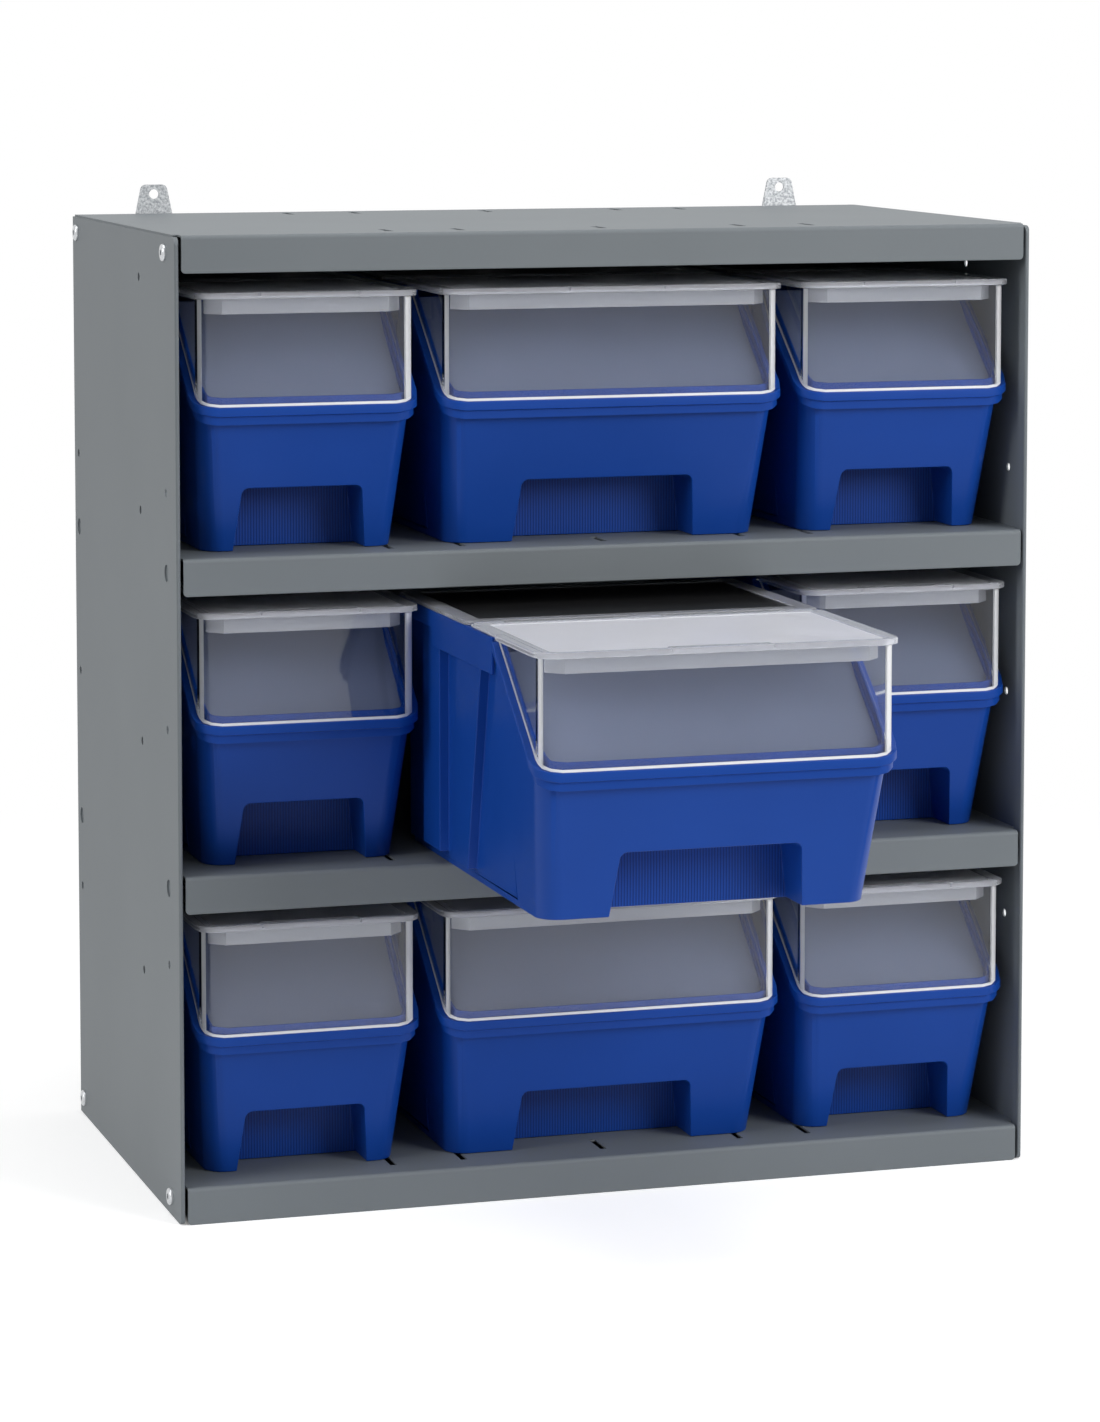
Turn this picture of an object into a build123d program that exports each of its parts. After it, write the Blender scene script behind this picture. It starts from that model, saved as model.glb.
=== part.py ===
from build123d import *
import os
from math import atan, cos, hypot, pi, sin, tan

# A wall rack of folded sheet steel with three bays, each holding three lidded storage bins.
# Millimetres. X runs across the rack, the front is towards -Y, Z is up.
# The origin is at the base, in the middle of the rack's front edge.

# Steel case
case_width = 604.6
case_depth = 341.4
case_height = 660.0
sheet = 1.2
deck_lip = 25.0
lower_bay = 209.8
middle_bay = 212.0
side_drop = 1.4
side_corner = 6.0
hem_thickness = 2.8
hem_depth = 11.0
lip_hem_height = 8.0
lip_hem_thickness = 2.6
lip_hem_rounding = 0.7
lip_corner = 3.0
lip_end_gap = 1.9
bend_radius = 2.0
back_return = 14.0

# Stamped holes and slots
slot_width = 4.6
slot_length = 26.0
slot_setback = 21.3
slot_places = [-150.0, -100.0, 0.0, 100.0, 150.0]
hole_setback_front = 31.5
hole_setback_back = 16.5
hole_setback_middle = 112.3
large_hole = 11.8
small_hole = 5.6
small_hole_pitch = 158.7
small_hole_base = 170.5
middle_hole_base = 151.0
screw_shank = 5.5
screw_clearance = 0.35
screw_head = 11.6
screw_head_height = 2.4
screw_length = 9.0
punch_sides = 8
hidden_sides = 6
head_sides = 8

# Galvanised hanging ears
ear_inset = 60.3
ear_width = 27.0
ear_top_width = 18.5
ear_above = 20.9
ear_below = 58.0
ear_thickness = 1.5
ear_corner = 4.0
ear_hole = 7.0
ear_hole_above = 14.0

# Storage bins, in their own frame: x from the bin's middle, y from the front plane of the case
# when the bin is home, z from the bin's underside
small_lid_width = 154.0
wide_lid_width = 243.0
bin_length = 333.0
wall = 2.2
floor = 2.6
draft_inset = 8.5
wall_inset = 3.0
front_foot = 35.0
front_top = 9.5
inner_corner = 8.0
front_corner = 15.0
core_start = 85.0
mouth_height = 98.5
mouth_rise = 0.85
mouth_start = 17.1
mouth_bend = 15.0
bend_steps = 2
corner_steps = 3
wall_top = 171.4
rim_outset = 1.5
rim_front = 4.7
rim_corner = 17.0
rim_thickness = 11.0
rim_height = 6.0
rim_step = 2.4
rim_under = 5.0
upstand_gap = 0.4
upstand_wall = 2.0
upstand_height = 6.5
upstand_root = 0.5

# Corrugated rear half of the tub
groove_inset = 8.5
panel_inset = 1.8
groove_foot = 5.0
panel_foot = 10.0
front_end_line = [(162.0, 0.0), (110.0, 125.0), (105.0, 172.0)]
panel_lines = [(168.0, 132.0, 195.0), (235.0, 235.0, 275.0)]
rail_start = 106.0
rail_step = 246.0
rail_wall = 2.0
rail_deep = 24.0
rail_shallow = 11.5

# Finger recess under the front
small_recess = 82.0
wide_recess = 121.0
recess_flare = 9.0
recess_height = 43.0
recess_back = 65.0
recess_corner = 5.0

# Clear window
window_inset = 3.0
window_front = 5.5
window_corner = 14.0
window_wall = 2.2
window_top = 170.0
window_seat = 0.15
window_rear = 101.0

# Lids and their hinge
lid_front = 3.0
lid_top = 174.5
lid_plate = 2.2
lid_band = 4.0
lid_band_width = 6.0
lid_band_end = 98.0
lid_corner = 14.0
lid_frame = 10.0
lid_frame_front = 4.5
lid_panel_drop = 0.8
skirt_inset = 10.0
skirt_wall = 2.0
skirt_height = 9.5
skirt_return = 11.0
skirt_corner = 10.0
tab_half = 33.8
tab_setback = 5.0
tab_notch = 1.6
tab_notch_height = 2.2
hinge_place = 158.0
hinge_height = 171.6
pin_radius = 1.6
pin_clearance = 0.3
pin_sides = 8
clip_radius = 2.9
clip_half = 11.5
clip_side_gap = 0.5
clip_swing_gap = 5.5
end_clip_inner = 24.0
end_clip_outer = 4.5
pin_end_gap = 6.5
rear_lid_start = 162.4
rear_lid_end = 331.0
rear_frame = 12.0
rear_seat = 0.1
rear_skirt_height = 6.5
rear_skirt_gap = 0.5

# Slate-grey insert behind the window
insert_thickness = 1.5
insert_lift = 0.15
insert_end = 92.0
insert_gap = 0.4

# Where the bins stand
bin_seat = 0.3
left_room = 91.5
middle_column = 3.2
pulled_column = -6.2
right_room = 87.7
pull = 245.0

front_y = 0.0
back_y = case_depth
lower_deck = deck_lip + lower_bay
upper_deck = lower_deck + middle_bay
hole_rows_y = [front_y + hole_setback_front, back_y - hole_setback_back]


def box(x0, x1, y0, y1, z0, z1):
    """A box between two corners."""
    return Pos((x0 + x1) / 2, (y0 + y1) / 2, (z0 + z1) / 2) * Box(x1 - x0, y1 - y0, z1 - z0)


def bar_x(radius, x0, x1, y, z):
    """A round bar along X."""
    return Pos((x0 + x1) / 2, y, z) * Rot(0, 90, 0) * Cylinder(radius, x1 - x0)


def punch_x(radius, x0, x1, y, z, sides=punch_sides):
    """A many-sided bar along X, as wide across its flats as a round one."""
    outline = RegularPolygon(radius / cos(pi / sides), sides)
    return Pos(x0, y, z) * Rot(0, 90, 0) * extrude(outline, amount=x1 - x0)


def prism_x(points, x0, x1):
    """A prism along X with a section given as (y, z) points."""
    section = Plane.YZ * make_face(Polyline(*points, close=True))
    return Pos(x0, 0, 0) * extrude(section, amount=x1 - x0, dir=(1, 0, 0))


# Steel case


def corner_cutters(x, z, radius, inward_x, inward_z, y0, y1):
    """The waste outside a rounded corner of a plate that stands across Y."""
    waste = box(*sorted((x, x + inward_x * radius)), y0, y1, *sorted((z, z + inward_z * radius)))
    centre = Pos(x + inward_x * radius, (y0 + y1) / 2, z + inward_z * radius)
    return waste - centre * Rot(90, 0, 0) * Cylinder(radius, y1 - y0 + 2)


def side_panel():
    """The right side panel: hemmed front edge, return along the back, stamped holes."""
    outer = case_width / 2
    height = case_height - side_drop
    skin_x = outer - sheet / 2
    path = FilletPolyline(
        (outer - back_return, back_y - sheet / 2),
        (skin_x, back_y - sheet / 2),
        (skin_x, front_y + hem_thickness / 2),
        radius=bend_radius,
    )
    skin = trace(path, line_width=sheet)
    hem = Pos(outer - hem_thickness / 2, front_y + hem_depth / 2) * Rectangle(hem_thickness, hem_depth)
    nose = hem.vertices().group_by(Axis.Y)[0]
    section = skin + fillet(nose, hem_thickness / 2 - 0.05)
    panel = extrude(section, amount=height)
    outline = Pos((front_y + back_y) / 2, height / 2) * Rectangle(case_depth, height)
    outline = fillet(outline.vertices().group_by(Axis.X)[0], side_corner)
    panel = panel & extrude(Plane.YZ * outline, amount=case_width, dir=(1, 0, 0))
    return panel - side_holes(outer)


def side_holes(outer):
    """Bars that cut the side panel's holes, outside to inside."""
    x0 = outer - sheet - 1
    x1 = outer + 1
    small_levels = [small_hole_base + i * small_hole_pitch for i in range(3)]
    middle_levels = [middle_hole_base + i * small_hole_pitch for i in range(4)]
    screw_bore = screw_shank / 2 + screw_clearance
    cutters = []
    for y in hole_rows_y:
        for z in (deck_lip / 2, case_height - deck_lip / 2):
            cutters.append(punch_x(screw_bore, x0, x1, y, z, hidden_sides))
        for deck in (lower_deck, upper_deck):
            cutters.append(bar_x(large_hole / 2, x0, x1, y, deck - deck_lip / 2))
        for z in small_levels:
            cutters.append(punch_x(small_hole / 2, x0, x1, y, z))
    for z in middle_levels:
        cutters.append(punch_x(small_hole / 2, x0, x1, front_y + hole_setback_middle, z))
    return cutters


def deck(top, screwed=False):
    """A folded deck: front lip with a hem, side flanges, rear flange, stamped slots."""
    inner = case_width / 2 - sheet
    lip_half = case_width / 2 - hem_thickness - lip_end_gap
    low = top - deck_lip
    rear = back_y - 2 * sheet
    mid = top - sheet / 2
    path = FilletPolyline(
        (rear - sheet / 2, low + sheet),
        (rear - sheet / 2, mid),
        (front_y + sheet / 2, mid),
        (front_y + sheet / 2, low + lip_hem_height / 2),
        radius=bend_radius,
    )
    section = trace(path, line_width=sheet)
    hem = Pos(front_y + lip_hem_thickness / 2, low + lip_hem_height / 2)
    hem = hem * Rectangle(lip_hem_thickness, lip_hem_height)
    hem = fillet(hem.vertices().group_by(Axis.Y)[0], lip_hem_rounding)
    plate = extrude(Plane.YZ * (section + hem), amount=lip_half, both=True)
    for side in (-1, 1):
        plate -= corner_cutters(
            side * lip_half, low, lip_corner, -side, 1, front_y - 1, front_y + lip_hem_thickness + 1
        )
        plate += side_flange(side, inner, mid, low)
    plate -= deck_slots(top)
    if not screwed:
        return plate
    bore = screw_shank / 2 + screw_clearance
    for y in hole_rows_y:
        plate -= punch_x(bore, -inner - 1, inner + 1, y, top - deck_lip / 2, hidden_sides)
    return plate


def side_flange(side, inner, mid, low):
    """One side flange of a deck, bent down inside the side panel."""
    start = front_y + hem_depth + 1.5
    end = back_y - 2 * sheet - bend_radius
    root = inner - hem_thickness - lip_end_gap
    path = Polyline(
        (side * root, mid),
        (side * (inner - sheet / 2), mid),
        (side * (inner - sheet / 2), low + sheet),
    )
    section = Plane.XZ * trace(path, line_width=sheet)
    return Pos(0, start, 0) * extrude(section, amount=end - start, dir=(0, 1, 0))


def deck_slots(top):
    """Two rows of slots through a deck, along its front and its back."""
    cutters = []
    for x in slot_places:
        for y0 in (front_y + slot_setback, back_y - slot_setback - slot_length):
            half = slot_width / 2
            cutters.append(box(x - half, x + half, y0, y0 + slot_length, top - sheet - 1, top + 1))
    return cutters


def back_panel():
    """The flat back sheet, between the decks and the side panels' returns."""
    half = case_width / 2 - sheet - bend_radius
    y1 = back_y - sheet
    return box(-half, half, y1 - sheet, y1, 2.0, case_height - side_drop)


def hanging_ear():
    """A galvanised ear that stands up behind the top edge."""
    low = case_height - ear_below
    high = case_height + ear_above
    outline = Polyline(
        (-ear_width / 2, low),
        (ear_width / 2, low),
        (ear_width / 2, case_height),
        (ear_top_width / 2, high),
        (-ear_top_width / 2, high),
        (-ear_width / 2, case_height),
        close=True,
    )
    face = make_face(outline)
    face = fillet(face.vertices().group_by(Axis.Y)[-1], ear_corner)
    face -= Pos(0, case_height + ear_hole_above) * Circle(ear_hole / 2)
    plate = extrude(Plane.XZ * face, amount=ear_thickness, dir=(0, 1, 0))
    return Pos(0, back_y - sheet, 0) * plate


def corner_screws():
    """Eight pan-head screws that hold the top and base decks to the side panels."""
    head = extrude(RegularPolygon(screw_head / 2, head_sides), amount=screw_head_height)
    head = chamfer(head.edges().group_by(Axis.Z)[-1], screw_head_height * 0.55)
    shank = Pos(0, 0, -screw_length) * extrude(RegularPolygon(screw_shank / 2, hidden_sides), amount=screw_length)
    screw = head + shank
    placed = []
    for side in (-1, 1):
        for y in hole_rows_y:
            for z in (deck_lip / 2, case_height - deck_lip / 2):
                placed.append(Pos(side * case_width / 2, y, z) * Rot(0, side * 90, 0) * screw)
    return Compound(children=placed)


# Storage bins

mouth_length = hypot(1, mouth_rise)
mouth_angle = atan(mouth_rise)
far_front = -30.0
sky_above = 40.0


def front_plan(half, front, corner, rear, steps=corner_steps):
    """A plan outline open to the rear, its front corners turned in a few steps."""
    left = []
    for i in range(steps + 1):
        turn = pi / 2 * i / steps
        left.append((corner * (1 - cos(turn)) - half, front + corner * (1 - sin(turn))))
    right = [(-x, y) for x, y in reversed(left)]
    return make_face(Polyline((-half, rear), *left, *right, (half, rear), close=True))


def above_mouth(half, front_lift=0.0, side_lift=0.0):
    """Everything above the mouth surface: level over the front, then sloping up to the rear."""
    level = mouth_height + front_lift
    bend = mouth_start + (front_lift - side_lift * mouth_length) / mouth_rise
    ceiling = wall_top + sky_above
    top = bend + (ceiling - level) / mouth_rise
    reach = mouth_bend * tan(mouth_angle / 2)
    start = bend - reach
    line = [(far_front, ceiling), (far_front, level)]
    for i in range(bend_steps + 1):
        turn = mouth_angle * i / bend_steps
        line.append((start + mouth_bend * sin(turn), level + mouth_bend * (1 - cos(turn))))
    line.append((top, ceiling))
    section = Plane.YZ * make_face(Polyline(*line, close=True))
    return extrude(section, amount=half, both=True)


def mouth_band(half, low, high):
    """The layer between two surfaces that follow the mouth, low and high counted from it."""
    return above_mouth(half, low, low / mouth_length) - above_mouth(half, high, high / mouth_length)


def mouth_ring(outer_half, outer_front, corner, thickness, outer_steps=corner_steps, inner_steps=1):
    """A tall wall round the mouth's front and sides, as thick as asked."""
    outside = front_plan(outer_half, outer_front, corner, window_rear, outer_steps)
    inside_corner = max(corner - thickness, 1.0)
    inside_half = outer_half - thickness
    inside = front_plan(inside_half, outer_front + thickness, inside_corner, window_rear + 1, inner_steps)
    return extrude(outside - inside, amount=wall_top + 10)


def tub_mass(half, inset, base):
    """The tub as a solid, shrunk inwards by inset, with its underside at base."""
    body = half - wall_inset - inset
    drop = 1 - base / mouth_height
    foot_half = body - draft_inset * drop
    foot_front = front_top + (front_foot - front_top) * drop + inset
    top_front = front_top + inset
    split = front_end_line[0][0] - inset
    mass = prism_x(
        [(foot_front, base), (top_front, mouth_height), (split, mouth_height), (split, base)], -body, body
    )
    across = Polyline(
        (-foot_half, base), (foot_half, base), (body, mouth_height), (-body, mouth_height), close=True
    )
    mass &= extrude(Plane.XZ * make_face(across), amount=split + 1, dir=(0, 1, 0))
    corners = mass.edges().filter_by(lambda e: abs((e % 0.5).Z) > 0.9).group_by(Axis.Y)[0]
    if inset:
        mass = chamfer(corners, inner_corner)
    else:
        mass = fillet(corners, front_corner)
    mass += box(-body, body, front_top + front_corner, split, mouth_height, wall_top)
    end_line = [(y - inset, z) for y, z in front_end_line]
    behind = [(split, -1), *end_line, (split + 10, end_line[-1][1]), (split + 10, -1)]
    mass -= prism_x(behind, -half, half)
    rear = bin_length - inset
    groove = half - groove_inset - inset
    mass += box(-foot_half, foot_half, core_start, rear, base, groove_foot + base + 1)
    mass += box(-groove, groove, core_start, rear, groove_foot + base, wall_top)
    panel = half - panel_inset - inset
    for low_start, high_start, end in panel_lines:
        low = panel_foot + base
        line = [(low_start + inset, low), (high_start + inset, wall_top), (end - inset, wall_top), (end - inset, low)]
        mass += prism_x(line, -panel, panel)
    return mass


def recess(width, grow):
    """The finger recess as a solid, grown outwards on its hidden sides."""
    top = width / 2 + grow
    bottom = (width + recess_flare) / 2 + grow
    height = recess_height + grow
    outline = Polyline((-bottom, -2), (-top, height), (top, height), (bottom, -2), close=True)
    face = make_face(outline)
    corners = face.vertices().group_by(Axis.Y)[-1]
    face = chamfer(corners, recess_corner) if grow else fillet(corners, recess_corner)
    solid = extrude(Plane.XZ * face, amount=recess_back + grow + 10, dir=(0, 1, 0))
    return Pos(0, -10, 0) * solid


def rails(half):
    """The side rails that hang outside the tub's rear half."""
    inner = half - rail_wall
    rail = box(half - groove_inset - 1, half, rail_start, bin_length, wall_top - rail_wall, wall_top)
    rail += box(inner, half, rail_start, rail_step, wall_top - rail_deep, wall_top)
    rail += box(inner, half, rail_step - 1, bin_length, wall_top - rail_shallow, wall_top)
    return rail + mirror(rail, about=Plane.YZ)


def rolled_rim(half):
    """The rim round the mouth: a broad seat for the window, stepped in below."""
    rim = mouth_ring(half, rim_front, rim_corner, rim_thickness)
    rim &= mouth_band(half + 5, -rim_height, 0)
    under = mouth_ring(half - rim_step, rim_front + rim_step, rim_corner - rim_step, rim_under)
    return rim + (under & mouth_band(half + 5, -2 * rim_height, -rim_height))


def upstand(half):
    """The low wall inside the window that holds its foot."""
    inset = window_wall + upstand_gap
    wall_ring = mouth_ring(half - inset, window_front + inset, window_corner, upstand_wall, 2, 2)
    wall_ring &= box(-half, half, 0, insert_end, 0, window_top)
    return wall_ring & mouth_band(half + 5, -upstand_root, upstand_height)


def tub(lid_width, recess_width):
    """The moulded tub: drafted front with its recess, rolled rim, corrugated rear, side rails."""
    half = lid_width / 2
    hollow = tub_mass(half, wall, floor)
    outside = tub_mass(half, 0.0, 0.0)
    shell = outside + rails(half) - hollow
    pocket = recess(recess_width, wall) & outside
    shell += pocket
    shell -= recess(recess_width, 0.0)
    shell -= above_mouth(half + 5)
    shell += rolled_rim(half + rim_outset)
    return shell + upstand(half - window_inset)


def window(lid_width):
    """The clear pane with rounded corners and side wings, seated on the tub's rim."""
    half = lid_width / 2 - window_inset
    pane = mouth_ring(half, window_front, window_corner, window_wall, inner_steps=corner_steps)
    pane &= box(-half - 5, half + 5, 0, window_rear, 0, window_top)
    low = window_seat
    return pane & above_mouth(half + 5, low, low / mouth_length)


def insert(lid_width):
    """The slate-grey sheet that lies in the mouth inside the upstand."""
    inset = window_wall + upstand_gap + upstand_wall + insert_gap
    half = lid_width / 2 - window_inset - inset
    plan = front_plan(half, window_front + inset, window_corner, insert_end, 2)
    low = insert_lift
    return extrude(plan, amount=wall_top) & mouth_band(half + 5, low, low + insert_thickness)


def clip_spans(half):
    """The stretches along X where the rear lid's clips hold the hinge bar."""
    return [
        (-clip_half, clip_half),
        (half - end_clip_inner, half - end_clip_outer),
        (end_clip_outer - half, end_clip_inner - half),
    ]


def front_lid(lid_width):
    """The hinged front lid: stepped plate, edge band, inner skirt, hinge bar."""
    half = lid_width / 2
    plan = front_plan(half, lid_front, lid_corner, hinge_place - 0.6)
    plate_low = lid_top - lid_plate
    lid = Pos(0, 0, plate_low) * extrude(plan, amount=lid_plate)
    core = front_plan(half - lid_band_width, lid_front + lid_band_width, lid_corner - 8, hinge_place, 1)
    band = plan - core - Pos(0, lid_band_end + hinge_place / 2) * Rectangle(2 * half + 2, hinge_place)
    lid += Pos(0, 0, lid_top - lid_band) * extrude(band, amount=lid_band - 0.5)
    panel = front_plan(half - lid_frame, lid_front + lid_frame_front, 4, hinge_place - lid_frame, 1)
    tab = Pos(0, lid_front + lid_frame_front) * Rectangle(2 * tab_half, 2 * tab_setback)
    lid -= Pos(0, 0, lid_top - lid_panel_drop) * extrude(panel - tab, amount=2)
    skirt_front = lid_front + skirt_inset
    skirt_out = front_plan(half - skirt_inset, skirt_front, skirt_corner, skirt_front + skirt_return, 1)
    inner = half - skirt_inset - skirt_wall
    skirt_in = front_plan(inner, skirt_front + skirt_wall, skirt_corner - 1, skirt_front + skirt_return + 1, 1)
    skirt = skirt_out - skirt_in
    lid += Pos(0, 0, plate_low - skirt_height) * extrude(skirt, amount=skirt_height + 0.5)
    for side in (-1, 1):
        x = side * tab_half
        y = lid_front
        lid -= box(
            x - tab_notch / 2, x + tab_notch / 2, y - 1, y + 1.2, lid_top - tab_notch_height, lid_top + 1
        )
    swing = hinge_place - clip_swing_gap
    for x0, x1 in clip_spans(half):
        gap = clip_side_gap
        lid -= box(x0 - gap, x1 + gap, swing, hinge_place + 5, hinge_height - 5, lid_top + 1)
    lid -= box(half - end_clip_inner - 1, half + 1, swing, hinge_place + 5, hinge_height - 5, lid_top + 1)
    lid -= box(-half - 1, end_clip_inner + 1 - half, swing, hinge_place + 5, hinge_height - 5, lid_top + 1)
    reach = half - pin_end_gap
    return lid + punch_x(pin_radius, -reach, reach, hinge_place, hinge_height, pin_sides)


def rear_lid(lid_width):
    """The fixed rear lid: seated frame, thin panel, locating skirt, hinge clips."""
    half = lid_width / 2
    plate_low = lid_top - lid_plate
    lid = box(-half, half, rear_lid_start, rear_lid_end, plate_low, lid_top)
    lid = chamfer(lid.edges().filter_by(Axis.Z).group_by(Axis.Y)[-1], 4)
    seat = wall_top + rear_seat
    edge = half - groove_inset - wall - rear_skirt_gap
    start = rear_lid_start + 6
    rear_wall = bin_length - wall - rear_skirt_gap
    frame = box(-half, half, start, rear_lid_end - 6, seat, plate_low + 0.5)
    frame -= box(-edge, edge, start - 1, rear_wall - 3, seat - 1, plate_low + 1)
    lid += frame
    skirt = box(-edge, edge, start, rear_wall, plate_low - rear_skirt_height, plate_low + 0.5)
    edge -= skirt_wall
    skirt -= box(-edge, edge, start - 1, rear_wall - skirt_wall, 0, plate_low + 1)
    lid += skirt
    inner = half - rear_frame
    lid -= box(
        -inner, inner, rear_lid_start + rear_frame, rear_lid_end - rear_frame, lid_top - lid_panel_drop, lid_top + 1
    )
    bore = pin_radius + pin_clearance
    for x0, x1 in clip_spans(half):
        clip = punch_x(clip_radius, x0, x1, hinge_place, hinge_height, pin_sides)
        clip += box(x0, x1, hinge_place, rear_lid_start + 1, lid_top - lid_plate, lid_top)
        lid += clip - punch_x(bore, x0 - 1, x1 + 1, hinge_place, hinge_height, pin_sides)
    return lid


# All the parts in place

columns = {
    "left": left_room - case_width / 2,
    "centre": middle_column,
    "right": case_width / 2 - right_room,
}
decks = {"bottom": deck_lip, "middle": lower_deck, "top": upper_deck}


def bin_pieces(lid_width, recess_width):
    """Every piece of one bin, in the bin's own frame."""
    return {
        "bin": tub(lid_width, recess_width),
        "window": window(lid_width),
        "insert": insert(lid_width),
        "front_lid": front_lid(lid_width),
        "rear_lid": rear_lid(lid_width),
    }


small_bin = bin_pieces(small_lid_width, small_recess)
wide_bin = bin_pieces(wide_lid_width, wide_recess)

right_side = side_panel()
right_ear = Pos(case_width / 2 - ear_inset, 0, 0) * hanging_ear()
parts = {
    "side_panel_left": mirror(right_side, about=Plane.YZ),
    "side_panel_right": right_side,
    "base_panel": deck(deck_lip, screwed=True),
    "lower_shelf": deck(lower_deck),
    "upper_shelf": deck(upper_deck),
    "top_panel": deck(case_height, screwed=True),
    "back_panel": back_panel(),
    "wall_bracket_left": mirror(right_ear, about=Plane.YZ),
    "wall_bracket_right": right_ear,
    "corner_screws": corner_screws(),
}
for row, deck_top in decks.items():
    for column, x in columns.items():
        pieces = wide_bin if column == "centre" else small_bin
        place = Pos(x, front_y, deck_top + bin_seat)
        if (row, column) == ("middle", "centre"):
            place = Pos(pulled_column, front_y - pull, deck_top + bin_seat)
        for piece, shape in pieces.items():
            parts[piece + "_" + row + "_" + column] = place * shape

os.makedirs("parts", exist_ok=True)
for name, shape in parts.items():
    export_step(shape, "parts/" + name + ".step")
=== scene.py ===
import math

import bmesh
import bpy
from mathutils import Matrix, Vector


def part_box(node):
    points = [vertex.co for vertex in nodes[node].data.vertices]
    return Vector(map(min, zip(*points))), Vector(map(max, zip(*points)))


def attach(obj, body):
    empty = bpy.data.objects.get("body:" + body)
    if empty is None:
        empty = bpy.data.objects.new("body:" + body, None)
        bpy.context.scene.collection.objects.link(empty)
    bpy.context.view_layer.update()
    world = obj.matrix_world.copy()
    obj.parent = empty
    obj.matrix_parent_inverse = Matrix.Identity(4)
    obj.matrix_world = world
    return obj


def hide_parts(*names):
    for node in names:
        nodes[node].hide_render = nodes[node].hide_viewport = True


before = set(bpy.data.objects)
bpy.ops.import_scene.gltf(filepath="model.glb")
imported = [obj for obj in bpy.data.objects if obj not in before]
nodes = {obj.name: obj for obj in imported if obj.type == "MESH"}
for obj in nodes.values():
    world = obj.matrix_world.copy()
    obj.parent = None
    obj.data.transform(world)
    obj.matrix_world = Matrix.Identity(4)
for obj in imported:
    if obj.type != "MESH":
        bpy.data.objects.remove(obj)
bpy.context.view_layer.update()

# Colours and materials


def linear(hex_colour):
    """An sRGB hex colour as the linear values that shaders take."""
    values = [int(hex_colour[i : i + 2], 16) / 255 for i in (1, 3, 5)]
    return [v / 12.92 if v <= 0.04045 else ((v + 0.055) / 1.055) ** 2.4 for v in values] + [1.0]


def add_node(tree, kind, inputs=None, **settings):
    """Adds a shader node, sets its properties, and fills or links its inputs."""
    node = tree.nodes.new(kind)
    for name, value in settings.items():
        setattr(node, name, value)
    for key, value in (inputs or {}).items():
        if isinstance(value, bpy.types.NodeSocket):
            tree.links.new(value, node.inputs[key])
        else:
            node.inputs[key].default_value = value
    return node


def new_material(name, **shader_inputs):
    """An empty node material with one principled shader, and its node tree and shader."""
    material = bpy.data.materials.new(name)
    material.use_nodes = True
    tree = material.node_tree
    tree.nodes.clear()
    shader = add_node(tree, "ShaderNodeBsdfPrincipled", shader_inputs)
    add_node(tree, "ShaderNodeOutputMaterial", {"Surface": shader.outputs[0]})
    return material, tree, shader


def mixed_colour(tree, first, second, factor):
    """A colour that goes from the first to the second as factor goes from 0 to 1."""
    mix = add_node(tree, "ShaderNodeMix", data_type="RGBA")
    tree.links.new(factor, mix.inputs[0])
    mix.inputs[6].default_value = linear(first)
    mix.inputs[7].default_value = linear(second)
    return mix.outputs[2]


def noise_at(tree, scale, detail=2.0, roughness=0.5):
    """Noise on the piece's own coordinates, with scale in cycles per metre."""
    coords = add_node(tree, "ShaderNodeTexCoord")
    settings = {"Vector": coords.outputs["Object"], "Scale": scale, "Detail": detail, "Roughness": roughness}
    return add_node(tree, "ShaderNodeTexNoise", settings).outputs["Fac"]


def bump_from(tree, shader, height, strength, distance):
    """Fine relief from a height value, distance in metres."""
    bump = add_node(
        tree, "ShaderNodeBump", {"Height": height, "Strength": strength, "Distance": distance}
    )
    tree.links.new(bump.outputs[0], shader.inputs["Normal"])


def ranged(tree, value, low, high, to_low=0.0, to_high=1.0):
    """Maps a value from one range to another, clamped."""
    node = add_node(
        tree,
        "ShaderNodeMapRange",
        {0: value, "From Min": low, "From Max": high, "To Min": to_low, "To Max": to_high},
    )
    return node.outputs[0]


def powder_coat():
    """Polyester powder coat on steel sheet: slate grey, semi-gloss, a faint orange peel."""
    material, tree, shader = new_material("powder_coated_steel", **{"IOR": 1.5, "Roughness": 0.5})
    shader.inputs["Specular IOR Level"].default_value = 0.2
    colour = mixed_colour(tree, "#71777B", "#787E82", noise_at(tree, 9.0))
    tree.links.new(colour, shader.inputs["Base Color"])
    bump_from(tree, shader, noise_at(tree, 900.0, 1.0), 0.25, 0.00005)
    return material


def galvanised():
    """Hot-dip galvanised strip: bright zinc with fine dark speckle and a broken sheen."""
    material, tree, shader = new_material("galvanised_zinc", **{"Metallic": 0.55})
    speckle = noise_at(tree, 520.0, 3.0, 0.7)
    colour = mixed_colour(tree, "#8F9397", "#C8CACC", ranged(tree, speckle, 0.38, 0.6))
    tree.links.new(colour, shader.inputs["Base Color"])
    tree.links.new(ranged(tree, speckle, 0.3, 0.7, 0.6, 0.35), shader.inputs["Roughness"])
    bump_from(tree, shader, speckle, 0.3, 0.0001)
    return material


def zinc_screw():
    """Zinc-plated screw steel: bright, with a fine worn gloss."""
    material, tree, shader = new_material("zinc_plated_screw", **{"Metallic": 1.0, "Roughness": 0.3})
    colour = mixed_colour(tree, "#B4B7BA", "#D6D8DA", noise_at(tree, 1500.0))
    tree.links.new(colour, shader.inputs["Base Color"])
    return material


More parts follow.
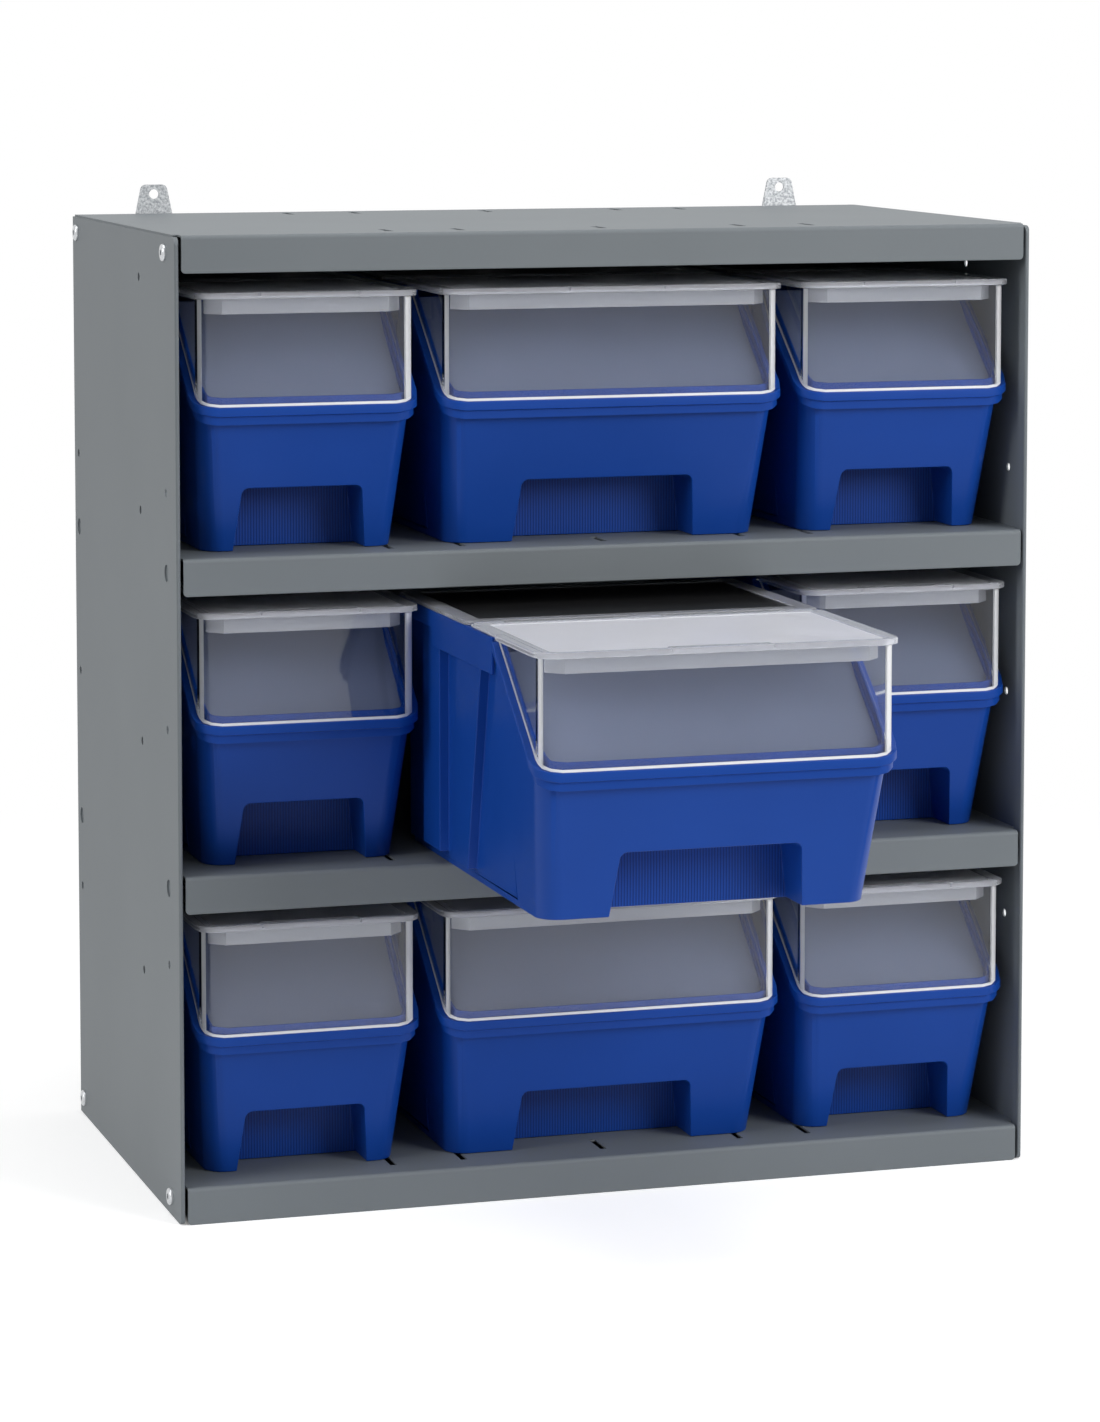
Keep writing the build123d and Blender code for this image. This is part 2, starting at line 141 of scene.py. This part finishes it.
def blue_polypropylene(name, ribbed=False):
    """Injection-moulded polypropylene: strong blue, satin, with a very fine mould grain.

    Ribbed, it has the fine upright ribs of the finger recess, about 2 mm apart, and painted shade: a darker
    blue in the ribs and over the recess back for the shade there.
    """
    material, tree, shader = new_material(name, **{"IOR": 1.49, "Roughness": 0.38})
    shader.inputs["Specular IOR Level"].default_value = 0.18
    colour = mixed_colour(tree, "#0E3F94", "#13459E", noise_at(tree, 14.0))
    height = noise_at(tree, 1600.0, 1.0)
    strength, depth = 0.15, 0.00003
    if ribbed:
        coords = add_node(tree, "ShaderNodeTexCoord")
        ribs = {"Vector": coords.outputs["Object"], "Scale": 2 * math.pi / (wave_rate * rib_pitch)}
        height = add_node(tree, "ShaderNodeTexWave", ribs, bands_direction="X").outputs["Fac"]
        # painted shade: the ribs run from a darker blue than the plain moulding, for the recess's shade
        colour = mixed_colour(tree, "#0B3078", "#13459E", height)
        strength, depth = 0.5, 0.0002
    tree.links.new(colour, shader.inputs["Base Color"])
    bump_from(tree, shader, height, strength, depth)
    return material


def styrene(name, tint, roughness, clearness):
    """Injection-moulded styrene: water clear where polished, milky where frosted, soft flow marks."""
    material, tree, shader = new_material(name, **{"IOR": 1.4, "Transmission Weight": clearness})
    shader.inputs["Base Color"].default_value = linear(tint)
    flow = ranged(tree, noise_at(tree, 22.0, 1.0), 0.3, 0.7, roughness * 0.9, roughness * 1.1)
    tree.links.new(flow, shader.inputs["Roughness"])
    return material


def dark_panel_painted_shade():
    """Thin dark sheet, glossy, with fine pale dust specks. Its near black is partly the sheet's dark tint
    and partly painted shade and reflection of the dark bay.
    """
    material, tree, shader = new_material("smoked_sheet", **{"IOR": 1.46, "Roughness": 0.3})
    shader.inputs["Specular IOR Level"].default_value = 0.15
    specks = ranged(tree, noise_at(tree, 700.0, 2.0, 0.8), 0.66, 0.74)
    tree.links.new(mixed_colour(tree, "#151516", "#6A6A6C", specks), shader.inputs["Base Color"])
    return material


def slate_sheet():
    """Calendered sheet, slate grey and matt, with a fine leathery grain."""
    material, tree, shader = new_material("slate_grey_sheet", **{"IOR": 1.46, "Roughness": 0.6})
    shader.inputs["Specular IOR Level"].default_value = 0.15
    colour = mixed_colour(tree, "#757E97", "#7C859F", noise_at(tree, 30.0))
    tree.links.new(colour, shader.inputs["Base Color"])
    bump_from(tree, shader, noise_at(tree, 1100.0, 1.0), 0.2, 0.00004)
    return material


# The wave texture turns through 20 radians in a unit of length at a scale of 1
wave_rate = 20
rib_pitch = 0.001974
paint = powder_coat()
zinc = galvanised()
screw_steel = zinc_screw()
blue = blue_polypropylene("blue_polypropylene")
# painted shade: the ribbed blue is darker for the shade in the finger recess
blue_ribs_painted_shade = blue_polypropylene("blue_polypropylene_ribbed", ribbed=True)
clear = styrene("clear_styrene", "#F6F8FB", 0.03, 1.0)
lid_clear = styrene("clear_styrene_lid", "#E9EBF1", 0.08, 0.72)
frosted = styrene("frosted_styrene", "#EFF0F5", 0.35, 0.3)
milky = styrene("milky_styrene", "#ECEDF2", 0.2, 0.6)
# painted glow: near-white, nearly opaque styrene for the light gathered in the pane's foot edge
painted_edge_glow = styrene("edge_lit_styrene", "#FBFCFE", 0.1, 0.1)
# painted highlight: a whiter, less clear styrene for the bright bands on curved corners and on the hinge bar
painted_highlight_styrene = styrene("polished_corner_styrene", "#FAFBFD", 0.08, 0.25)
slate = slate_sheet()
# painted shade: the near-black sheet stands in for the dark bay behind and above the rear lid
shaded_dark_sheet = dark_panel_painted_shade()

for name, node in nodes.items():
    node.data.materials.clear()
    node.data.materials.append(zinc if name.startswith("wall_bracket") else paint)

# Bin dimensions

# Metres, in the bin's own frame: x from its middle, y from the case's front plane when it is home,
# z from its underside. A mouth facet is given by the y and z of a point on it and its slope in degrees.
rim_front = 0.0047
mouth_height = 0.0985
mouth_facets = [
    (0.0116, 0.0985, 0.0),
    (0.0116, 0.0985, 10.1),
    (0.01677, 0.09942, 30.3),
    (0.02131, 0.10207, 40.36),
]
foot_line = 0.0021
corner_cut = 0.016
corner_inset = 0.0165
corner_middle_y = 0.0205
corner_sweep = 0.0045
sweep_fade = (0.06, 0.1)
rim_depth = 0.0135
upstand_reach = 0.0075
wall_inset = 0.003
draft_inset = 0.0085
core_start = 0.085
core_foot = 0.01
core_inset = 0.01
core_tuck = 0.0003
recess_back = 0.065
recess_height = 0.043
lid_top = 0.1745
panel_drop = 0.0008
hinge_place = 0.158
hinge_height = 0.1716
skirt_low = 0.1628
skirt_extra = 0.003
lid_plate_low = 0.1723
skirt_back = 0.03
corner_back = 0.03
recess_back_slack = 0.003
front_frame_width = 0.0102
front_panel_span = (0.009, 0.147)
rear_frame_width = 0.0125
rear_panel_span = (0.175, 0.3185)
small_half = 0.077
wide_half = 0.1215
small_recess_half = 0.055
wide_recess_half = 0.075
panel_low = 0.1678
bar_reach = 0.0022
bar_rise = 0.0025
# How far a pane corner's normals turn where its painted highlight lies, set apart for the left and right
# corners as the light falls
left_corner_turn = (0.9, 0.985)
right_corner_turn = (0.55, 0.8)
tolerance = 0.0005
flush = 0.0002
tub_edge = 0.0006
lid_edge = 0.0004
sheet_edge = 0.0003


def bin_origin(place):
    """Where a bin's own frame starts, from the box of its tub."""
    low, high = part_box("bin_" + place)
    return Vector(((low[0] + high[0]) / 2, low[1] - rim_front, low[2]))


def only(piece):
    """Selects one piece and nothing else."""
    bpy.ops.object.select_all(action="DESELECT")
    piece.select_set(True)
    bpy.context.view_layer.objects.active = piece


def merged_copy(node_name, name):
    """A copy of a CAD node's mesh as a new piece, its triangles joined into clean faces."""
    piece = bpy.data.objects.new(name, nodes[node_name].data.copy())
    bpy.context.scene.collection.objects.link(piece)
    piece.data.name = name
    piece.data.materials.clear()
    only(piece)
    if piece.data.has_custom_normals:
        bpy.ops.mesh.customdata_custom_splitnormals_clear()
    bpy.ops.object.mode_set(mode="EDIT")
    bpy.ops.mesh.select_all(action="SELECT")
    bpy.ops.mesh.remove_doubles(threshold=0.00001)
    bpy.ops.mesh.dissolve_limited(angle_limit=math.radians(0.5))
    bpy.ops.object.mode_set(mode="OBJECT")
    return piece


def cut_along(piece, point, normal):
    """Divides a piece's faces along a plane, keeping both sides."""
    only(piece)
    bpy.ops.object.mode_set(mode="EDIT")
    bpy.ops.mesh.select_all(action="SELECT")
    bpy.ops.mesh.bisect(plane_co=point, plane_no=normal)
    bpy.ops.object.mode_set(mode="OBJECT")


def finish_where(piece, origin, material, test):
    """Gives a material to the faces whose middle, in the bin's frame, and normal pass a test."""
    piece.data.materials.append(material)
    index = len(piece.data.materials) - 1
    for face in piece.data.polygons:
        if test(face.center - origin, face.normal):
            face.material_index = index


def soften_edges(piece, width):
    """Rounds a piece's sharp edges and shades it smooth, with its flat faces kept flat."""
    only(piece)
    bpy.ops.object.mode_set(mode="EDIT")
    bpy.ops.mesh.select_all(action="SELECT")
    bpy.ops.mesh.dissolve_limited(angle_limit=math.radians(0.5), delimit={"MATERIAL"})
    bpy.ops.object.mode_set(mode="OBJECT")
    bevel = piece.modifiers.new("moulded_edges", "BEVEL")
    bevel.width = width
    bevel.segments = 2
    bevel.limit_method = "ANGLE"
    bevel.angle_limit = math.radians(38)
    bevel.use_clamp_overlap = False
    bpy.ops.object.modifier_apply(modifier=bevel.name)
    bpy.ops.object.shade_smooth_by_angle(angle=math.radians(50))
    flats = piece.modifiers.new("flat_faces", "WEIGHTED_NORMAL")
    flats.keep_sharp = True
    bpy.ops.object.modifier_apply(modifier=flats.name)


def foot_height(point):
    """How far a point stands over the mouth's surface, least of its four flat runs."""
    heights = []
    for y, z, slope in mouth_facets:
        tilt = math.radians(slope)
        heights.append((point.z - z) * math.cos(tilt) - (point.y - y) * math.sin(tilt))
    return min(heights)


def sweep_corners(piece, origin, half):
    """Lifts the mouth's edge smoothly round the two front corners, as the moulding sweeps up there."""
    for vertex in piece.data.vertices:
        point = vertex.co - origin
        beyond = abs(point.x) - (half - corner_inset)
        if beyond <= 0 or point.y > sweep_fade[1]:
            continue
        if not -rim_depth < foot_height(point) < upstand_reach:
            continue
        ahead = max(corner_middle_y - point.y, 0.0)
        turn = math.atan2(beyond, ahead)
        fade = min((sweep_fade[1] - point.y) / (sweep_fade[1] - sweep_fade[0]), 1.0)
        vertex.co.z += corner_sweep * (1 - math.cos(turn)) ** 0.8 * fade


def dress_tub(place, half):
    """The moulded tub: softened edges, ribbed recess back with painted shade, and its inner block's foot
    tucked in.
    """
    origin = bin_origin(place)
    piece = merged_copy("bin_" + place, "tub_" + place)
    piece.data.materials.append(blue)
    recess_half = small_recess_half if half == small_half else wide_recess_half

    def on_recess_back(point, normal):
        near = abs(point.y - recess_back) < recess_back_slack and abs(point.x) < recess_half
        return near and point.z < recess_height and normal.y < -0.9

    # painted shade: the recess back takes the darker ribbed blue
    finish_where(piece, origin, blue_ribs_painted_shade, on_recess_back)
    sweep_corners(piece, origin, half)
    for vertex in piece.data.vertices:
        point = vertex.co - origin
        at_core = abs(point.y - core_start) < tolerance and point.z < core_foot
        if at_core and abs(point.x) > half - core_inset:
            flank = half - wall_inset - draft_inset * (1 - point.z / mouth_height) - core_tuck
            vertex.co.x = origin.x + math.copysign(flank, point.x)
    soften_edges(piece, tub_edge)
    return piece


def dress_window(place, half):
    """The clear pane: a painted glow, a near-white line along its foot, and painted highlights on its
    rounded corners.

    A corner's faces are told by how far their normals turn to the side.
    """
    origin = bin_origin(place)
    piece = merged_copy("window_" + place, "pane_" + place)
    piece.data.materials.append(clear)
    for y, z, slope in mouth_facets:
        tilt = math.radians(slope)
        normal = Vector((0, -math.sin(tilt), math.cos(tilt)))
        cut_along(piece, origin + Vector((0, y, z)) + normal * foot_line, normal)
    cut_along(piece, origin + Vector((0, corner_cut, 0)), Vector((0, 1, 0)))

    def on_painted_highlight_corner(point, normal):
        low, high = left_corner_turn if point.x < 0 else right_corner_turn
        back = corner_cut if point.x < 0 else corner_back
        return abs(normal.z) < 0.1 and low < abs(normal.x) < high and point.y < back

    # painted highlight: the bright bands on the pane's rounded corners
    finish_where(piece, origin, painted_highlight_styrene, on_painted_highlight_corner)
    # painted glow: the pane's foot line takes the near-white styrene
    finish_where(piece, origin, painted_edge_glow, lambda point, normal: foot_height(point) < foot_line)
    sweep_corners(piece, origin, half)
    soften_edges(piece, sheet_edge)
    return piece


def dress_insert(place, half):
    """The slate-grey sheet with a softened edge. Its width makes no difference here."""
    piece = merged_copy("insert_" + place, "sheet_" + place)
    piece.data.materials.append(slate)
    soften_edges(piece, sheet_edge)
    return piece


def dress_front_lid(place, half):
    """The hinged lid: clear frame, frosted panel and skirt, and a hinge bar with a painted highlight."""
    origin = bin_origin(place)
    piece = merged_copy("front_lid_" + place, "lid_" + place)
    for vertex in piece.data.vertices:
        if vertex.co.z - origin.z < skirt_low + tolerance:
            vertex.co.z -= skirt_extra
    piece.data.materials.append(lid_clear)
    inner = half - front_frame_width

    def on_panel(point, normal):
        across = abs(point.x) < inner and front_panel_span[0] < point.y < front_panel_span[1]
        return across and abs(normal.z) > 0.9 and panel_low < point.z < lid_top - flush

    def on_skirt(point, normal):
        return point.z < lid_plate_low - 0.001 and point.y < skirt_back

    def on_bar(point, normal):
        near = point.y > hinge_place - bar_reach and abs(point.z - hinge_height) < bar_rise
        return near and abs(normal.x) < 0.5

    finish_where(piece, origin, frosted, on_panel)
    finish_where(piece, origin, milky, on_skirt)
    # painted highlight: the hinge bar's bright line
    finish_where(piece, origin, painted_highlight_styrene, on_bar)
    soften_edges(piece, lid_edge)
    return piece


def dress_rear_lid(place, half):
    """The fixed lid: clear frame and clips round a dark inner panel, its near black partly tint and partly
    painted shade.
    """
    origin = bin_origin(place)
    piece = merged_copy("rear_lid_" + place, "rear_cover_" + place)
    piece.data.materials.append(lid_clear)
    inner = half - rear_frame_width

    def on_panel(point, normal):
        across = abs(point.x) < inner and rear_panel_span[0] < point.y < rear_panel_span[1]
        return across and normal.z > 0.9 and abs(point.z - lid_top + panel_drop) < flush

    # painted shade: the inner panel takes the near-black sheet for the dark bay behind and above it
    finish_where(piece, origin, shaded_dark_sheet, on_panel)
    soften_edges(piece, lid_edge)
    return piece


def stand_in(piece, kind, place):
    """Lets a piece take the place of its CAD node, on the lid's or the bin's body."""
    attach(piece, ("lid_" if kind == "front_lid" else "bin_") + place)
    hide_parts(kind + "_" + place)


makers = {
    "bin": dress_tub,
    "window": dress_window,
    "insert": dress_insert,
    "front_lid": dress_front_lid,
    "rear_lid": dress_rear_lid,
}
rows = ["top", "middle", "bottom"]
models = {
    "left": ("top_left", small_half),
    "centre": ("top_centre", wide_half),
    "right": ("top_left", small_half),
}
made = {}
for kind, maker in makers.items():
    for row in rows:
        for column, (model, half) in models.items():
            place = row + "_" + column
            if (kind, model) not in made:
                made[kind, model] = maker(model, half)
            piece = made[kind, model]
            if place != model:
                name = piece.name[: -len(model)] + place
                piece = bpy.data.objects.new(name, piece.data.copy())
                bpy.context.scene.collection.objects.link(piece)
                piece.data.name = name
                shift = bin_origin(place) - bin_origin(model)
                piece.data.transform(Matrix.Translation(shift))
            stand_in(piece, kind, place)

# Corner screws

head_radius = 0.0058
head_height = 0.0024
shank_radius = 0.00275
shank_length = 0.009
lobe_outer = 0.0024
lobe_inner = 0.0017
recess_depth = 0.0013
recess_rim = 0.0016
dome_share = 0.62
shank_chamfer = 0.0005


def pan_head_screw():
    """One pan-head screw along Z, its head's underside at zero: domed head, six-lobed recess, shank."""
    bpy.ops.object.select_all(action="DESELECT")
    bpy.ops.mesh.primitive_cylinder_add(
        vertices=36, radius=head_radius, depth=head_height, location=(0, 0, head_height / 2)
    )
    piece = bpy.context.object
    bpy.ops.object.transform_apply(location=True, rotation=True, scale=True)
    bpy.ops.object.mode_set(mode="EDIT")
    mesh = bmesh.from_edit_mesh(piece.data)
    for edge in mesh.edges:
        edge.select = all(vertex.co.z > head_height - 1e-5 for vertex in edge.verts)
    bpy.ops.mesh.bevel(offset=head_height * dome_share, segments=4, profile=0.5)
    mesh = bmesh.from_edit_mesh(piece.data)
    bpy.ops.mesh.select_all(action="DESELECT")
    top = max(mesh.faces, key=lambda face: face.calc_center_median().z + face.calc_area())
    top.select = True
    bpy.ops.mesh.inset(thickness=recess_rim)
    mesh = bmesh.from_edit_mesh(piece.data)
    for vertex in mesh.verts:
        if vertex.select:
            around = math.atan2(vertex.co.y, vertex.co.x)
            lobe = 0.5 + 0.5 * math.cos(6 * around)
            reach = lobe_inner + (lobe_outer - lobe_inner) * lobe
            vertex.co.x, vertex.co.y = reach * math.cos(around), reach * math.sin(around)
    bpy.ops.mesh.extrude_region_move(TRANSFORM_OT_translate={"value": (0, 0, -recess_depth)})
    bpy.ops.mesh.select_all(action="DESELECT")
    mesh = bmesh.from_edit_mesh(piece.data)
    bottom = min(mesh.faces, key=lambda face: face.calc_center_median().z - face.calc_area())
    bottom.select = True
    bpy.ops.mesh.inset(thickness=head_radius - shank_radius)
    bpy.ops.mesh.extrude_region_move(TRANSFORM_OT_translate={"value": (0, 0, -shank_length)})
    bpy.ops.mesh.bevel(offset=shank_chamfer, segments=1)
    bpy.ops.object.mode_set(mode="OBJECT")
    bpy.ops.object.shade_smooth_by_angle(angle=math.radians(40))
    return piece


low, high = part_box("corner_screws")
deck_low, deck_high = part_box("base_panel"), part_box("top_panel")
screw_levels = [(deck_low[0].z + deck_low[1].z) / 2, (deck_high[0].z + deck_high[1].z) / 2]
screw_rows = [low.y + head_radius, high.y - head_radius]
outer_x = high.x - head_height
screw = pan_head_screw()
heads = []
for side in (-1, 1):
    for y in screw_rows:
        for z in screw_levels:
            head = bpy.data.objects.new("screw_%d" % len(heads), screw.data.copy())
            bpy.context.scene.collection.objects.link(head)
            turn = Matrix.Rotation(side * math.pi / 2, 4, "Y")
            head.data.transform(Matrix.Translation((side * outer_x, y, z)) @ turn)
            heads.append(head)
bpy.data.objects.remove(screw)
bpy.ops.object.select_all(action="DESELECT")
for head in heads:
    head.select_set(True)
bpy.context.view_layer.objects.active = heads[0]
bpy.ops.object.join()
screws = heads[0]
screws.name = "pan_head_screws"
screws.data.name = "pan_head_screws"
screws.data.materials.clear()
screws.data.materials.append(screw_steel)
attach(screws, "case")
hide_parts("corner_screws")

# Floor, backdrop, light and camera


def seen_rays(tree):
    """One for rays that the camera, a reflection or a clear pane sends out, else zero."""
    rays = add_node(tree, "ShaderNodeLightPath")
    either = add_node(
        tree,
        "ShaderNodeMath",
        {0: rays.outputs["Is Camera Ray"], 1: rays.outputs["Is Glossy Ray"]},
        operation="MAXIMUM",
    )
    return add_node(
        tree,
        "ShaderNodeMath",
        {0: either.outputs[0], 1: rays.outputs["Is Transmission Ray"]},
        operation="MAXIMUM",
    ).outputs[0]


def studio_floor_paint():
    """Matt white studio floor that keeps a soft shadow near the rack and fades into the backdrop."""
    material, tree, shader = new_material("studio_floor_paint", **{"Roughness": 0.9})
    shader.inputs["Base Color"].default_value = linear("#F2F2F2")
    shader.inputs["Emission Color"].default_value = linear("#FFFFFF")
    seen = seen_rays(tree)
    coords = add_node(tree, "ShaderNodeTexCoord")
    spread = {0: coords.outputs["Object"], 1: (0.0, -case_middle, 0.0)}
    centred = add_node(tree, "ShaderNodeVectorMath", spread, operation="ADD")
    scaled = {0: centred.outputs[0], 1: (1 / case_half_width, 1 / case_middle, 0.0)}
    sized = add_node(tree, "ShaderNodeVectorMath", scaled, operation="MULTIPLY")
    sides = add_node(tree, "ShaderNodeVectorMath", {0: sized.outputs[0]}, operation="ABSOLUTE")
    parts = add_node(tree, "ShaderNodeSeparateXYZ", {0: sides.outputs[0]})
    edge = {0: parts.outputs[0], 1: parts.outputs[1]}
    outside = add_node(tree, "ShaderNodeMath", edge, operation="MAXIMUM").outputs[0]
    open_floor = ranged(tree, outside, 0.97, 1.0, 0.0, floor_lift)
    lift = add_node(tree, "ShaderNodeMath", {0: open_floor, 1: seen}, operation="MULTIPLY")
    tree.links.new(lift.outputs[0], shader.inputs["Emission Strength"])
    far_glow = add_node(
        tree, "ShaderNodeEmission", {"Strength": ranged(tree, seen, 0.0, 1.0, ambient, 1.0)}
    )
    away = add_node(
        tree, "ShaderNodeVectorMath", {0: coords.outputs["Object"]}, operation="LENGTH"
    )
    blend = add_node(
        tree,
        "ShaderNodeMixShader",
        {
            0: ranged(tree, away.outputs["Value"], glow_start, glow_full),
            1: shader.outputs[0],
            2: far_glow.outputs[0],
        },
    )
    output = next(node for node in tree.nodes if node.type == "OUTPUT_MATERIAL")
    tree.links.new(blend.outputs[0], output.inputs["Surface"])
    return material


def add_area_light(name, place, target, size, power):
    """A soft box aimed at a point."""
    data = bpy.data.lights.new(name, "AREA")
    data.shape = "RECTANGLE"
    data.size, data.size_y = size
    data.energy = power
    light = bpy.data.objects.new(name, data)
    bpy.context.scene.collection.objects.link(light)
    light.location = place
    light.rotation_mode = "QUATERNION"
    light.rotation_quaternion = (Vector(target) - Vector(place)).to_track_quat("-Z", "Y")
    return light


ambient = 0.31
floor_lift = 0.45
glow_start = 0.7
glow_full = 1.6
case_half_width = 0.3023
case_middle = 0.1707
floor_size = 60
bpy.ops.object.select_all(action="DESELECT")
bpy.ops.mesh.primitive_plane_add(size=floor_size, location=(0, 0, 0))
floor = bpy.context.object
floor.name = "studio_floor"
floor.data.materials.append(studio_floor_paint())

world = bpy.data.worlds.new("studio")
bpy.context.scene.world = world
world.use_nodes = True
sky = world.node_tree
sky.nodes.clear()
strength = ranged(sky, seen_rays(sky), 0.0, 1.0, ambient, 1.0)
backdrop = add_node(sky, "ShaderNodeBackground", {"Color": [1, 1, 1, 1], "Strength": strength})
add_node(sky, "ShaderNodeOutputWorld", {"Surface": backdrop.outputs[0]})

middle = (0.0, 0.1, 0.33)
add_area_light("key_softbox", (1.35, -1.9, 1.35), middle, (1.2, 1.0), 34)
add_area_light("fill_softbox", (-2.8, -0.9, 1.8), middle, (1.2, 1.4), 29)
add_area_light("top_softbox", (0.0, -0.1, 3.0), middle, (2.2, 1.4), 30)

camera_data = bpy.data.cameras.new("photo_camera")
camera = bpy.data.objects.new("photo_camera", camera_data)
bpy.context.scene.collection.objects.link(camera)
bpy.context.scene.camera = camera
camera.location = (-0.94512, -2.91043, 0.80156)
camera.rotation_euler = (math.radians(90 - 5.1305), 0, math.radians(-17.1785))
camera_data.lens = 115.168
camera_data.sensor_width = 36
camera_data.shift_y = -0.2
camera_data.clip_start = 0.05
camera_data.clip_end = floor_size

bpy.context.scene.view_settings.view_transform = "Standard"
